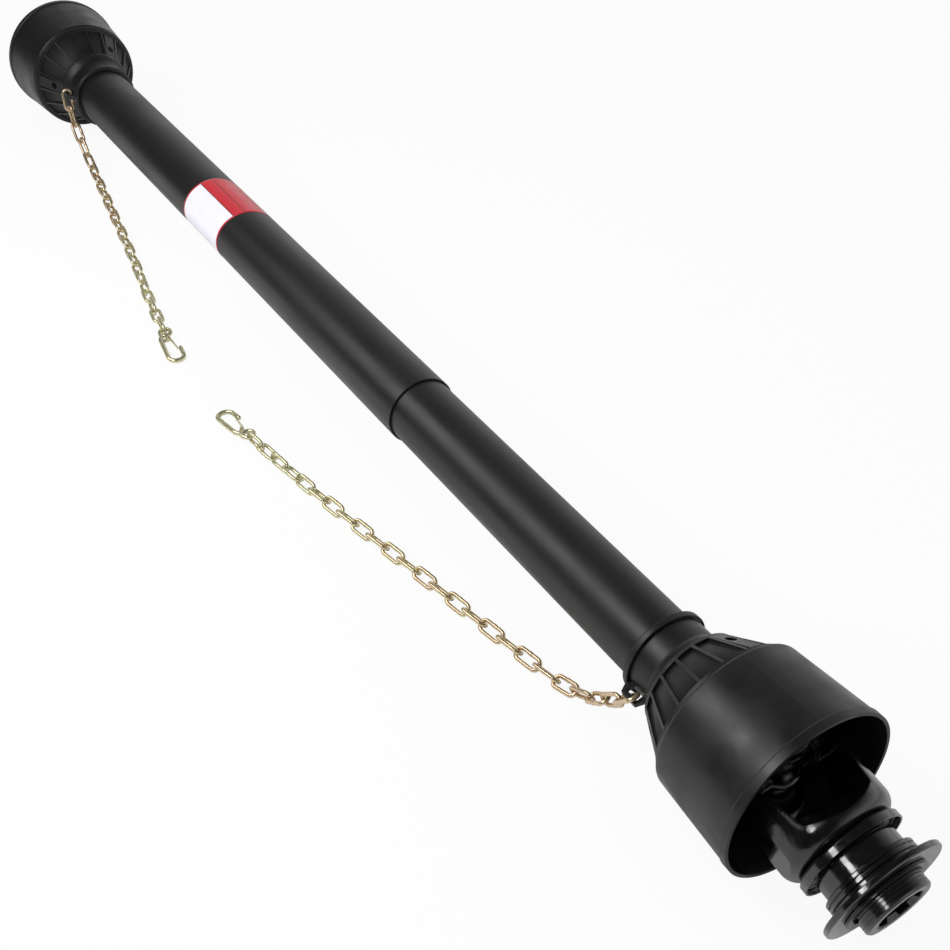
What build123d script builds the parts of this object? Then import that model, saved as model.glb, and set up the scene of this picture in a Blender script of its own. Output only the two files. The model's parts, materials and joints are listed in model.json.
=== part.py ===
"""Drive shaft for farm machinery: two universal joints, telescoping tubes and a full plastic guard.

Millimetres, +Z up. The shaft axis is the X axis, +X points to the tractor, and the origin is the
centre of the implement yoke's bore at its open end. The shaft lies on the mouths of its two bells.
"""
from build123d import *
import os
from math import asin, cos, degrees, radians, sin

os.makedirs("parts", exist_ok=True)

# Layout along the shaft
joint_spacing = 1269.0  # between the centres of the two universal joints
joint_turn = 8.0  # degrees, outer yoke ears above the horizontal
yoke_droop = 9.0  # degrees, the tractor yoke hangs below the shaft axis
closing_travel = 80.0
opening_travel = 330.0

# Guard tubes, the implement half's tube slides over the tractor half's
outer_guard_radius = 31.0
outer_guard_wall = 1.5
outer_guard_length = 741.0
inner_guard_wall = 2.0
inner_guard_length = 740.0
guard_gap = 0.25

# Bells, depths run inwards from the mouth
bell_length = 145.0
bell_wall = 2.5
mouth_radius = 67.5
lip_width = 6.0
lip_proud = 0.8
drum_length = 75.0
shoulder_radius = 61.5
shoulder_round = 2.8
cone_length = 33.0
cone_top_radius = 57.5
cone_root_radius = 39.5
shoulder_step = 4.0
shoulder_ring = 1.5
root_ring = 2.0
panel_recess = 2.5
rib_count = 18
rib_thickness = 2.2
hole_count = 3
hole_radius = 3.8
hole_boss_width = 12.0
boss_step = 0.5
hole_depth = 99.0
neck_wall = 2.15
neck_gap = 0.2
neck_blend = 10.0
tube_seat = 21.0
bead_width = 6.0
bead_height = 2.7
bead_groove = 1.4
lug_length = 21.0
lug_height = 9.4
lug_floor = -0.3
lug_thickness = 4.5
lug_bar = 3.4
lug_post = 4.9
tractor_lug_angle = 197.0  # degrees about the shaft, from +Y towards +Z
implement_lug_angle = 170.0
tractor_hole_angle = 190.0
implement_hole_angle = 170.0

# Guard bearings, split rings that run in a groove of each shaft yoke
bearing_width = 5.0
bearing_play = 0.3
bearing_run = 23.7
bearing_gap = 0.05
bearing_split = 6.0

# Universal joints
ear_span = 79.0  # over the outer faces of a yoke's ears
ear_thickness = 9.0
ear_radius = 20.0
fork_radius = 41.5
fork_length = 65.0
fork_shoulder = 12.0
arm_start = 14.0
arm_start_half_width = 22.0
arm_end = 40.0
arm_round = 12.0
saddle_depth = 38.0  # to the saddle's crown, between the ears
saddle_rim = 58.0  # to its edge at the open sides
saddle_half_width = 25.0
saddle_round = 14.0
cup_radius = 13.5
cup_length = 13.6
cup_floor = 1.6
trunnion_radius = 8.0
trunnion_clearance = 0.05
spider_radius = 11.0
spider_core_radius = 16.5
seal_radius = 12.8
seal_width = 2.2
seat_gap = 0.3
circlip_thickness = 1.2
circlip_width = 3.6
circlip_grip = 0.8
circlip_opening = 11.0
nipple_seat = 18.7
nipple_length = 8.0
nipple_radius = 3.0
nipple_neck_radius = 1.9

# Shaft yokes and the telescoping profile tubes, rounded triangles in section
shaft_hub_radius = 26.5
shaft_hub_run = 33.0  # from the end of the fork to the end of the socket
bearing_groove_radius = 24.8
profile_flat = 14.25  # from the axis to a flat of the outer tube
profile_round = 6.0
profile_wall = 3.0
profile_gap = 0.3
profile_seat_gap = 0.05
socket_depth = 28.0
roll_pin_radius = 4.0
roll_pin_wall = 1.5
roll_pin_inset = 20.0
roll_pin_angle = 120.0
end_gap = 2.0

# Tractor yoke, six-spline bore and lock collar
tractor_hub_run = 46.5  # from the end of the fork to the end of the hub
hub_radius = 24.6
spline_count = 6
spline_outer_radius = 17.45
spline_inner_radius = 15.0
spline_width = 8.7
hub_chamfer = 1.5
bore_countersink = 18.2
end_groove_width = 0.9
end_groove_depth = 0.7
end_groove_pitch = 2.5
ball_inset = 27.2  # from the end of the hub
ball_radius = 4.75
ball_hole_gap = 0.1
ball_count = 3
collar_gap = 0.15
collar_nose = 14.7  # from the balls to the flange's face
barrel_radius = 29.3
spring_chamber_radius = 27.7
spring_chamber_inset = 3.2  # from the balls to the spring chamber
ridge_radius = 33.0
ridge_width = 2.6
ridge_groove = 1.4
sleeve_radius = 31.2
flange_radius = 44.0
flange_thickness = 4.0
ramp_slope = 0.436  # ball lift for each millimetre of collar travel
collar_travel = 5.5
cup_rim_radius = 37.5
cup_depth = 6.4
cup_seat_gap = 0.6
cup_wall = 1.3
cup_step = 1.2
washer_radius = 31.0
washer_thickness = 2.0
ring_thickness = 1.6
ring_height = 3.0
ring_grip = 1.4
ring_opening = 9.0
spring_wire_radius = 0.9
spring_turns = 3.5

# Implement yoke, plain keyed bore with two set screws
implement_hub_run = 23.0  # from the end of the fork to the end of the hub
implement_hub_radius = 26.0
implement_bore_radius = 17.5
key_width = 10.0
key_depth = 3.3
screw_radius = 4.0
screw_inset = 13.0
screw_socket_radius = 2.2
screw_socket_depth = 3.0

# Safety chains; route points are depth, +Y and, for the hanging part, +Z
wire_radius = 1.5
link_pitch = 20.4
link_inner_width = 6.2
link_corner_steps = 4
link_slack = 1.1
roll_links = 6
tractor_link_count = 25
implement_link_count = 24
tractor_lead = 4.3
implement_lead = 6.0
tractor_hang = (142, -40, -26)
implement_hang = (133, -44, -20)
tractor_lie = [(205, -44), (256, -54), (331, -67), (408, -81), (483, -94), (562, -105), (680, -115)]
implement_lie = [(200, -46), (264, -57), (335, -69), (405, -81), (483, -96), (640, -112)]

# Spring hooks, formed from one rod, with a leaf gate on a pin
hook_wire_radius = 2.25
hook_length = 46.0
hook_half_width = 7.5
hook_tip_length = 10.0
eye_radius = 5.2
eye_wire_radius = 2.0
gate_reach = 29.0
gate_pivot = 10.5
gate_pin_radius = 1.0
gate_barrel_radius = 2.0
gate_thickness = 0.8
gate_width = 3.0
gate_gap = 0.4
tab_thickness = 1.15

# Values that follow from the ones above
inner_guard_radius = outer_guard_radius - outer_guard_wall - guard_gap
floor_z = -mouth_radius
tube_end_depth = bell_length - tube_seat
bearing_depth = tube_end_depth - bearing_play - bearing_width
mouth_reach = bearing_depth - fork_length - bearing_run
cone_start = drum_length + shoulder_step
cone_end = cone_start + cone_length
ear_outer = ear_span / 2
ear_inner = ear_outer - ear_thickness
cup_outer = ear_outer - circlip_thickness - circlip_grip
cup_inner = cup_outer - cup_length
circlip_radius = cup_radius + circlip_grip
trunnion_length = cup_outer - cup_floor - seat_gap / 2
spider_shoulder = cup_inner - seal_width - seat_gap
shaft_hub_length = fork_length + shaft_hub_run
implement_reach = fork_length + implement_hub_run
tractor_reach = fork_length + tractor_hub_run
ball_station = tractor_reach - ball_inset
collar_front = ball_station + collar_nose
spring_chamber_end = ball_station - spring_chamber_inset
cup_floor_station = fork_length + cup_seat_gap
cup_rim_station = cup_floor_station + cup_depth
collar_rear = cup_floor_station + cup_wall + collar_travel + 4 * trunnion_clearance
implement_x = implement_reach
tractor_x = implement_x + joint_spacing
link_spacing = link_pitch - link_slack
link_rest = floor_z + link_inner_width / 2 + 2 * wire_radius + 0.1
hook_tilt = degrees(asin((link_rest - floor_z - hook_wire_radius - 0.1) / hook_length))
droop_direction = Vector(cos(radians(yoke_droop)), 0, -sin(radians(yoke_droop)))


def radial(angle):
    """Unit vector that points away from the shaft axis, angle from +Y towards +Z."""
    return Vector(0, cos(radians(angle)), sin(radians(angle)))


def across(origin, direction):
    """Plane square to the shaft axis, with local x towards +Y and local y towards +Z."""
    return Plane(origin=(origin, 0, 0), x_dir=(0, 1, 0), z_dir=(direction, 0, 0))


def along(mouth_x, outward, angle=90.0):
    """Plane through the shaft axis: local x is depth into the bell, local y points at angle."""
    inward = Vector(-outward, 0, 0)
    return Plane(origin=(mouth_x, 0, 0), x_dir=inward, z_dir=inward.cross(radial(angle)))


def yoke_plane(centre, direction, ear_axis):
    """Plane of a yoke's ears: local x along the yoke, local y along the ear axis."""
    return Plane(origin=centre, x_dir=direction, z_dir=direction.cross(ear_axis))


def profile_sketch(plane, flat, corner):
    """Rounded triangle with its flats at the given distance from the axis."""
    with BuildSketch(plane) as sketch:
        RegularPolygon(radius=2 * flat, side_count=3)
        fillet(sketch.vertices(), radius=corner)
    return sketch.sketch


def saddle_cut(centre, direction, ear_axis):
    """Opening between the ears; its floor is crowned and falls away towards both open sides."""
    with BuildPart() as cut:
        with BuildSketch(yoke_plane(centre, direction, ear_axis)):
            with BuildLine():
                Line((-ear_radius - 1, ear_inner), (-ear_radius - 1, -ear_inner))
                FilletPolyline(
                    (-ear_radius - 1, -ear_inner),
                    (ear_radius, -ear_inner),
                    (saddle_rim, -saddle_half_width),
                    (saddle_rim, saddle_half_width),
                    (ear_radius, ear_inner),
                    (-ear_radius - 1, ear_inner),
                    radius=saddle_round,
                )
            make_face()
        extrude(amount=fork_radius + 1, both=True)
        with BuildSketch(Plane(origin=centre, x_dir=direction, z_dir=ear_axis)):
            with BuildLine():
                Polyline(
                    (saddle_rim, -fork_radius),
                    (saddle_rim, -fork_radius - 2),
                    (-ear_radius - 2, -fork_radius - 2),
                    (-ear_radius - 2, fork_radius + 2),
                    (saddle_rim, fork_radius + 2),
                    (saddle_rim, fork_radius),
                )
                ThreePointArc((saddle_rim, fork_radius), (saddle_depth, 0), (saddle_rim, -fork_radius))
            make_face()
        extrude(amount=ear_outer, both=True, mode=Mode.INTERSECT)
    return cut.part


def fork_part(centre, direction, ear_axis, hub, length):
    """Forged fork with two bored ears on wide arms, a round barrel and a round hub."""
    plane = yoke_plane(centre, direction, ear_axis)
    side = Plane(origin=centre, x_dir=direction, z_dir=ear_axis)
    with BuildPart() as fork:
        with BuildSketch(side):
            Circle(ear_radius)
            with BuildLine():
                Line((0, ear_radius), (0, -ear_radius))
                for up in (1, -1):
                    FilletPolyline(
                        (0, up * ear_radius),
                        (arm_start, up * arm_start_half_width),
                        (arm_end, up * fork_radius),
                        (fork_length, up * fork_radius),
                        radius=arm_round,
                    )
                Line((fork_length, fork_radius), (fork_length, -fork_radius))
            make_face()
        extrude(amount=ear_outer, both=True)
        with BuildSketch(plane):
            with BuildLine():
                Polyline((fork_length, 0), (-ear_radius, 0), (-ear_radius, fork_radius))
                Line((-ear_radius, fork_radius), (fork_length - fork_shoulder, fork_radius))
                FilletPolyline(
                    (fork_length - fork_shoulder, fork_radius),
                    (fork_length, fork_radius),
                    (fork_length, 0),
                    radius=fork_shoulder - 0.5,
                )
            make_face()
        revolve(axis=Axis(centre, direction), mode=Mode.INTERSECT)
        with BuildSketch(Plane(origin=centre + direction * (fork_length - fork_shoulder), z_dir=direction)):
            Circle(hub)
        extrude(amount=length - fork_length + fork_shoulder)
        add(saddle_cut(centre, direction, ear_axis), mode=Mode.SUBTRACT)
        with BuildSketch(side):
            Circle(cup_radius)
        extrude(amount=ear_span, both=True, mode=Mode.SUBTRACT)
        for sign in (1, -1):
            with BuildSketch(side.offset(sign * cup_outer)):
                Circle(circlip_radius)
            extrude(amount=sign * circlip_thickness, mode=Mode.SUBTRACT)
    return fork.part


def cup_pair(centre, direction, ear_axis):
    """Two closed bearing cups, pressed into the ears and open towards the spider."""
    with BuildPart() as cups:
        for sign in (1, -1):
            mouth = Plane(origin=centre + ear_axis * (sign * cup_inner), x_dir=direction, z_dir=ear_axis * sign)
            with BuildSketch(mouth):
                Circle(cup_radius)
            extrude(amount=cup_length)
            with BuildSketch(mouth):
                Circle(trunnion_radius + trunnion_clearance)
            extrude(amount=cup_length - cup_floor, mode=Mode.SUBTRACT)
    return cups.part


def circlip_pair(centre, direction, ear_axis):
    """Two open retaining rings in the ears' grooves."""
    with BuildPart() as clips:
        for sign in (1, -1):
            seat = Plane(origin=centre + ear_axis * (sign * cup_outer), x_dir=direction, z_dir=ear_axis * sign)
            with BuildSketch(seat):
                Circle(circlip_radius - bearing_gap)
                Circle(circlip_radius - circlip_width, mode=Mode.SUBTRACT)
                with Locations((circlip_radius, 0)):
                    Rectangle(circlip_radius, circlip_opening, mode=Mode.SUBTRACT)
            extrude(amount=circlip_thickness)
    return clips.part


def unit_link():
    """One welded link of round wire, eight flats round its section, lying flat at the origin."""
    end_radius = link_inner_width / 2
    half_straight = link_pitch / 2 - end_radius
    angles = [radians(-90 + 180 * step / link_corner_steps) for step in range(link_corner_steps + 1)]
    with BuildPart() as link:
        with BuildSketch(Plane.XY.offset(-wire_radius)):
            for reach, mode in ((end_radius + 2 * wire_radius, Mode.ADD), (end_radius, Mode.SUBTRACT)):
                right = [(half_straight + reach * cos(angle), reach * sin(angle)) for angle in angles]
                left = [(-x, -y) for x, y in right]
                with BuildLine():
                    Polyline(*right, *left, close=True)
                make_face(mode=mode)
        extrude(amount=2 * wire_radius)
        flats = link.faces().filter_by(Axis.Z)
        chamfer(flats.edges(), length=wire_radius * (2 - 2**0.5))
    return link.part


def link_planes(start, hang, lie, count):
    """Planes of the links that hang from the start and then lie along the floor, local x along the chain."""
    landing = lie[0] - (lie[1] - lie[0]) * 0.6
    with BuildLine() as line:
        Bezier(start, hang, landing, lie[0])
        Spline(*lie)
    path = line.wires()[0]
    last = count - 1
    end_roll = 90 if last % 2 == 0 else 0
    up = Vector(0, 0, 1)
    joint = start
    reach = 0
    planes = []
    for index in range(count):
        reach += link_spacing
        for _ in range(3):
            chord = path.position_at(reach, position_mode=PositionMode.LENGTH) - joint
            reach += link_spacing - chord.length
        tangent = chord.normalized()
        side = (up - tangent * up.dot(tangent)).normalized()
        settled = min(1, index / roll_links)
        lifted = max(0, 1 - (last - index) / roll_links)
        roll = radians(45 * settled + (end_roll - 45) * lifted + 90 * (index % 2))
        normal = side * cos(roll) + side.cross(tangent) * sin(roll)
        planes.append(Plane(origin=joint + tangent * (link_spacing / 2), x_dir=tangent, z_dir=normal))
        joint += tangent * link_spacing
    return planes


# Both halves of the guard, its bearings, the joints inside it and its safety chains
halves = {
    "tractor": {
        "outward": 1,
        "joint_x": tractor_x,
        "direction": droop_direction,
        "tube_radius": inner_guard_radius,
        "tube_wall": inner_guard_wall,
        "tube_length": inner_guard_length,
        "guard_tube": "inner_guard_tube",
        "profile_tube": "outer_profile_tube",
        "profile_flat": profile_flat,
        "profile_round": profile_round,
        "lug_angle": tractor_lug_angle,
        "hole_angle": tractor_hole_angle,
        "chain_lead": tractor_lead,
        "chain_hang": tractor_hang,
        "chain_lie": tractor_lie,
        "link_count": tractor_link_count,
        "tip_side": -1,
    },
    "implement": {
        "outward": -1,
        "joint_x": implement_x,
        "direction": Vector(-1, 0, 0),
        "tube_radius": outer_guard_radius,
        "tube_wall": outer_guard_wall,
        "tube_length": outer_guard_length,
        "guard_tube": "outer_guard_tube",
        "profile_tube": "inner_profile_tube",
        "profile_flat": profile_flat - profile_wall - profile_gap,
        "profile_round": profile_round - profile_wall - profile_gap,
        "lug_angle": implement_lug_angle,
        "hole_angle": implement_hole_angle,
        "chain_lead": implement_lead,
        "chain_hang": implement_hang,
        "chain_lie": implement_lie,
        "link_count": implement_link_count,
        "tip_side": 1,
    },
}

for name, half in halves.items():
    outward = half["outward"]
    centre = Vector(half["joint_x"], 0, 0)
    inward = Vector(-outward, 0, 0)
    mouth_x = half["joint_x"] + outward * mouth_reach
    seat_radius = half["tube_radius"] + neck_gap
    neck_radius = seat_radius + neck_wall
    bead_radius = neck_radius + bead_height
    shaft_ears = radial(joint_turn + 90)
    outer_ears = half["direction"].cross(shaft_ears).normalized()

    # Guard tube, its end seated in the bell's neck
    with BuildPart() as guard_tube:
        with BuildSketch(across(mouth_x - outward * tube_end_depth, -outward)):
            Circle(half["tube_radius"])
            Circle(half["tube_radius"] - half["tube_wall"], mode=Mode.SUBTRACT)
        extrude(amount=half["tube_length"])
    guard_tube.part.label = half["guard_tube"]
    export_step(guard_tube.part, f"parts/{half['guard_tube']}.step")

    # Bell: drum, shoulder ring, ribbed cone and neck in one moulding, then the chain lug
    panel_top = cone_top_radius - panel_recess
    panel_root = cone_root_radius - panel_recess
    shoulder_root = cone_top_radius + shoulder_ring
    stop_radius = shaft_hub_radius + 3 * bearing_play
    bead_start = bell_length - bead_width
    neck_start = cone_end + neck_blend
    with BuildPart() as bell:
        with BuildSketch(along(mouth_x, outward)):
            with BuildLine():
                Polyline(
                    (0, mouth_radius - bell_wall),
                    (0, mouth_radius),
                    (lip_width, mouth_radius),
                    (lip_width + lip_proud, mouth_radius - lip_proud),
                )
                FilletPolyline(
                    (lip_width + lip_proud, mouth_radius - lip_proud),
                    (drum_length, shoulder_radius),
                    (drum_length + shoulder_ring / 3, shoulder_root),
                    radius=shoulder_round,
                )
                Polyline(
                    (drum_length + shoulder_ring / 3, shoulder_root),
                    (drum_length + shoulder_step / 2, shoulder_root),
                    (drum_length + shoulder_step / 2, cone_top_radius),
                    (cone_start, cone_top_radius),
                    (cone_start, panel_top),
                    (cone_end - root_ring, panel_root + 1),
                    (cone_end - root_ring, cone_root_radius + 1),
                    (cone_end + 1, cone_root_radius),
                )
                Bezier(
                    (cone_end + 1, cone_root_radius),
                    (cone_end + neck_blend / 2, neck_radius + 1),
                    (neck_start, neck_radius),
                )
                Polyline(
                    (neck_start, neck_radius),
                    (bead_start, neck_radius),
                    (bead_start + bead_groove, neck_radius - 0.5),
                    (bead_start + bead_groove, bead_radius - 1.2),
                    (bead_start, bead_radius - 0.6),
                    (bead_start + 0.6, bead_radius),
                    (bell_length - 1.5, bead_radius),
                    (bell_length, bead_radius - 2),
                    (bell_length, seat_radius),
                    (bearing_depth, seat_radius),
                    (bearing_depth, stop_radius),
                    (bearing_depth - bell_wall, stop_radius),
                    (cone_end - root_ring - 1, panel_root + 1 - bell_wall),
                    (cone_start - 1, panel_top - bell_wall),
                    (drum_length - 1, shoulder_radius - bell_wall),
                    (lip_width, mouth_radius - bell_wall - lip_proud),
                    (0, mouth_radius - bell_wall),
                )
            make_face()
        revolve(axis=Axis.X)
        with BuildSketch(*[along(mouth_x, outward, index * 360 / rib_count) for index in range(rib_count)]):
            with BuildLine():
                Polyline(
                    (cone_start - 1, panel_top - 1),
                    (cone_start - 1, cone_top_radius),
                    (cone_end - 1, cone_root_radius + 1),
                    (cone_end - 1, panel_root),
                    close=True,
                )
            make_face()
        extrude(amount=rib_thickness / 2, both=True)
        hole_planes = [
            along(mouth_x, outward, half["hole_angle"] + index * 360 / hole_count) for index in range(hole_count)
        ]
        with BuildSketch(*hole_planes):
            with BuildLine():
                Polyline(
                    (cone_start - 1, panel_top - 1),
                    (cone_start - 1, cone_top_radius - boss_step),
                    (cone_end - 1, cone_root_radius + 1 - boss_step),
                    (cone_end - 1, panel_root),
                    close=True,
                )
            make_face()
        extrude(amount=hole_boss_width / 2, both=True)
        for plane in hole_planes:
            with BuildSketch(Plane(origin=plane.from_local_coords((hole_depth, 0, 0)), z_dir=plane.y_dir)):
                Circle(hole_radius)
            extrude(amount=cone_top_radius, mode=Mode.SUBTRACT)
        lug_start = bead_start - lug_length + 1
        lug_end = bead_start + bead_groove + 0.6
        lug_top = neck_radius + lug_height
        with BuildSketch(along(mouth_x, outward, half["lug_angle"])):
            with BuildLine():
                Polyline(
                    (lug_start, neck_radius - 1),
                    (lug_start + 4, lug_top),
                    (bead_start - 2, lug_top),
                    (lug_end, neck_radius + bead_height / 2),
                    (lug_end, neck_radius - 1),
                    close=True,
                )
            make_face()
            with BuildLine():
                Polyline(
                    (lug_start + lug_post, neck_radius + lug_floor),
                    (lug_start + lug_post, lug_top - lug_bar),
                    (bead_start - lug_bar, lug_top - lug_bar),
                    (bead_start - lug_bar, neck_radius + lug_floor),
                    close=True,
                )
            make_face(mode=Mode.SUBTRACT)
        extrude(amount=lug_thickness / 2, both=True)
    bell.part.label = f"{name}_bell"
    export_step(bell.part, f"parts/{name}_bell.step")

    # Guard bearing, a split nylon ring between the bell's stop and the end of the guard tube
    with BuildPart() as guard_bearing:
        with BuildSketch(across(mouth_x - outward * (bearing_depth + bearing_play / 2), -outward)):
            Circle(seat_radius - bearing_gap)
            Circle(bearing_groove_radius + bearing_gap, mode=Mode.SUBTRACT)
            with Locations((seat_radius, 0)):
                Rectangle(seat_radius, bearing_split, mode=Mode.SUBTRACT)
        extrude(amount=bearing_width)
    guard_bearing.part.label = f"{name}_guard_bearing"
    export_step(guard_bearing.part, f"parts/{name}_guard_bearing.step")

    # Shaft yoke: fork, hub with the bearing groove, socket and pin hole
    flat = half["profile_flat"]
    corner = half["profile_round"]
    hub_end_x = centre.X - outward * shaft_hub_length
    socket_floor_x = hub_end_x + outward * socket_depth
    groove_x = mouth_x - outward * (bearing_depth - bearing_play / 2)
    pin_plane = Plane(
        origin=(hub_end_x + outward * roll_pin_inset, 0, 0), x_dir=(1, 0, 0), z_dir=radial(roll_pin_angle)
    )
    with BuildPart() as shaft_yoke:
        add(fork_part(centre, inward, shaft_ears, shaft_hub_radius, shaft_hub_length))
        with BuildSketch(across(groove_x, -outward)):
            Circle(shaft_hub_radius + 1)
            Circle(bearing_groove_radius, mode=Mode.SUBTRACT)
        extrude(amount=bearing_width + 2 * bearing_play, mode=Mode.SUBTRACT)
        socket = profile_sketch(across(hub_end_x, outward), flat + profile_seat_gap, corner + profile_seat_gap)
        extrude(socket, amount=socket_depth, mode=Mode.SUBTRACT)
        with BuildSketch(pin_plane):
            Circle(roll_pin_radius)
        extrude(amount=shaft_hub_radius + 1, both=True, mode=Mode.SUBTRACT)
    shaft_yoke.part.label = f"{name}_shaft_yoke"
    export_step(shaft_yoke.part, f"parts/{name}_shaft_yoke.step")

    with BuildPart() as roll_pin:
        with BuildSketch(pin_plane):
            Circle(roll_pin_radius)
            Circle(roll_pin_radius - roll_pin_wall, mode=Mode.SUBTRACT)
            with Locations((roll_pin_radius, 0)):
                Rectangle(roll_pin_radius, 1, mode=Mode.SUBTRACT)
        extrude(amount=shaft_hub_radius - 1, both=True)
    roll_pin.part.label = f"{name}_roll_pin"
    export_step(roll_pin.part, f"parts/{name}_roll_pin.step")

    # Profile tube, seated in its yoke and pinned; it stops short of the other yoke when fully closed
    tube_span = joint_spacing - 2 * shaft_hub_length + socket_depth - seat_gap - closing_travel - end_gap
    tube_plane = across(socket_floor_x - outward * seat_gap, -outward)
    with BuildPart() as profile_tube:
        extrude(profile_sketch(tube_plane, flat, corner), amount=tube_span)
        hollow = profile_sketch(tube_plane, flat - profile_wall, max(corner - profile_wall, 1))
        extrude(hollow, amount=tube_span, mode=Mode.SUBTRACT)
        with BuildSketch(pin_plane):
            Circle(roll_pin_radius)
        extrude(amount=shaft_hub_radius, both=True, mode=Mode.SUBTRACT)
    profile_tube.part.label = half["profile_tube"]
    export_step(profile_tube.part, f"parts/{half['profile_tube']}.step")

    # Spider with four trunnions, its seals and grease nipple
    nipple_axis = (shaft_ears + outer_ears * outward).normalized()
    with BuildPart() as spider:
        with Locations(centre):
            Sphere(spider_core_radius)
        with BuildSketch(Plane(origin=centre, z_dir=nipple_axis)):
            Circle(nipple_radius + 0.5)
        extrude(amount=nipple_seat)
        for ear_axis in (shaft_ears, outer_ears):
            with BuildSketch(Plane(origin=centre, z_dir=ear_axis)):
                Circle(spider_radius)
            extrude(amount=spider_shoulder, both=True)
            with BuildSketch(Plane(origin=centre, z_dir=ear_axis)):
                Circle(trunnion_radius)
            extrude(amount=trunnion_length, both=True)
    spider.part.label = f"{name}_spider"
    export_step(spider.part, f"parts/{name}_spider.step")

    with BuildPart() as spider_seals:
        for ear_axis in (shaft_ears, shaft_ears * -1, outer_ears, outer_ears * -1):
            with BuildSketch(Plane(origin=centre + ear_axis * spider_shoulder, z_dir=ear_axis)):
                Circle(seal_radius)
                Circle(trunnion_radius, mode=Mode.SUBTRACT)
            extrude(amount=seal_width)
    spider_seals.part.label = f"{name}_spider_seals"
    export_step(spider_seals.part, f"parts/{name}_spider_seals.step")

    nipple_plane = Plane(origin=centre + nipple_axis * nipple_seat, z_dir=nipple_axis)
    with BuildPart() as grease_nipple:
        with BuildSketch(nipple_plane):
            RegularPolygon(radius=nipple_radius, side_count=6)
        extrude(amount=nipple_length / 3)
        with BuildSketch(nipple_plane):
            Circle(nipple_neck_radius)
        extrude(amount=nipple_length)
        tip_edge = grease_nipple.edges().sort_by(Axis(nipple_plane.origin, nipple_axis))[-1]
        chamfer(tip_edge, length=nipple_neck_radius / 3)
    grease_nipple.part.label = f"{name}_grease_nipple"
    export_step(grease_nipple.part, f"parts/{name}_grease_nipple.step")

    # Bearing cups and circlips in the ears of both forks
    for fork_name, direction, ear_axis in (
        (f"{name}_shaft", inward, shaft_ears),
        (f"{name}_yoke", half["direction"], outer_ears),
    ):
        with BuildPart() as cups:
            add(cup_pair(centre, direction, ear_axis))
        cups.part.label = f"{fork_name}_cups"
        export_step(cups.part, f"parts/{fork_name}_cups.step")
        with BuildPart() as circlips:
            add(circlip_pair(centre, direction, ear_axis))
        circlips.part.label = f"{fork_name}_circlips"
        export_step(circlips.part, f"parts/{fork_name}_circlips.step")

    # Safety chain, hung on the lug's bar and lying along the floor
    bar_depth = (lug_start + lug_post + bead_start - lug_bar) / 2
    bar = radial(half["lug_angle"]) * (lug_top - lug_bar / 2 + 0.5)
    bar.X = mouth_x - outward * bar_depth
    depth, y, z = half["chain_hang"]
    hang = Vector(mouth_x - outward * depth, y, z)
    start = bar - (hang - bar).normalized() * (link_spacing / 2 - half["chain_lead"])
    lie = [Vector(mouth_x - outward * depth, y, link_rest) for depth, y in half["chain_lie"]]
    planes = link_planes(start, hang, lie, half["link_count"])
    link = unit_link()
    with BuildPart() as chain:
        add([link.moved(plane.location) for plane in planes])
    chain.part.label = f"{name}_chain"
    export_step(chain.part, f"parts/{name}_chain.step")

    # Spring hook, its eye round the last link, its bend resting on the floor
    last = planes[-1]
    heading = Vector(last.x_dir.X, last.x_dir.Y, 0).normalized()
    across_hook = Vector(0, 0, 1).cross(heading)
    hook_dir = heading * cos(radians(hook_tilt)) - Vector(0, 0, sin(radians(hook_tilt)))
    eye_reach = link_pitch / 2 - eye_wire_radius - link_slack / 2 + eye_radius
    hook_plane = Plane(
        origin=last.origin + last.x_dir * eye_reach, x_dir=hook_dir, z_dir=hook_dir.cross(across_hook)
    )
    side = half["tip_side"]
    bend_start = hook_length - hook_half_width
    with BuildPart() as chain_hook:
        with Locations(hook_plane):
            Torus(eye_radius, eye_wire_radius)
        with BuildLine(hook_plane) as rod:
            FilletPolyline(
                (0, -side * eye_radius),
                (eye_radius, -side * eye_radius),
                (eye_radius + 5, -side * hook_half_width),
                (bend_start, -side * hook_half_width),
                radius=hook_half_width / 2,
            )
            ThreePointArc((bend_start, -side * hook_half_width), (hook_length, 0), (bend_start, side * hook_half_width))
            Line((bend_start, side * hook_half_width), (bend_start - hook_tip_length, side * hook_half_width))
        with BuildSketch(Plane(origin=rod.line @ 0, z_dir=rod.line % 0)):
            Circle(hook_wire_radius)
        sweep(path=rod.line)
        with Locations(hook_plane * Location((bend_start - hook_tip_length, side * hook_half_width, 0))):
            Sphere(hook_wire_radius)
        with BuildSketch(hook_plane.offset(-hook_wire_radius)):
            with Locations((gate_pivot, 0)):
                Circle(gate_barrel_radius)
            with Locations((gate_pivot, -side * hook_half_width / 2)):
                Rectangle(2 * gate_barrel_radius, hook_half_width)
        extrude(amount=tab_thickness)
        with BuildSketch(hook_plane.offset(-hook_wire_radius)):
            with Locations((gate_pivot, 0)):
                Circle(gate_pin_radius)
        extrude(amount=2 * hook_wire_radius)
    chain_hook.part.label = f"{name}_chain_hook"
    export_step(chain_hook.part, f"parts/{name}_chain_hook.step")

    gate_end = side * (hook_half_width - hook_wire_radius - gate_gap)
    with BuildPart() as hook_gate:
        with BuildSketch(hook_plane.offset(tab_thickness + trunnion_clearance - hook_wire_radius)):
            with BuildLine():
                Polyline(
                    (gate_pivot, side * (gate_barrel_radius - gate_thickness)),
                    (gate_pivot, side * gate_barrel_radius),
                    (gate_reach, gate_end),
                    (gate_reach, gate_end - side * gate_thickness),
                    close=True,
                )
            make_face()
            with Locations((gate_pivot, 0)):
                Circle(gate_barrel_radius)
                Circle(gate_pin_radius + trunnion_clearance, mode=Mode.SUBTRACT)
        extrude(amount=gate_width)
    hook_gate.part.label = f"{name}_hook_gate"
    export_step(hook_gate.part, f"parts/{name}_hook_gate.step")

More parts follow.
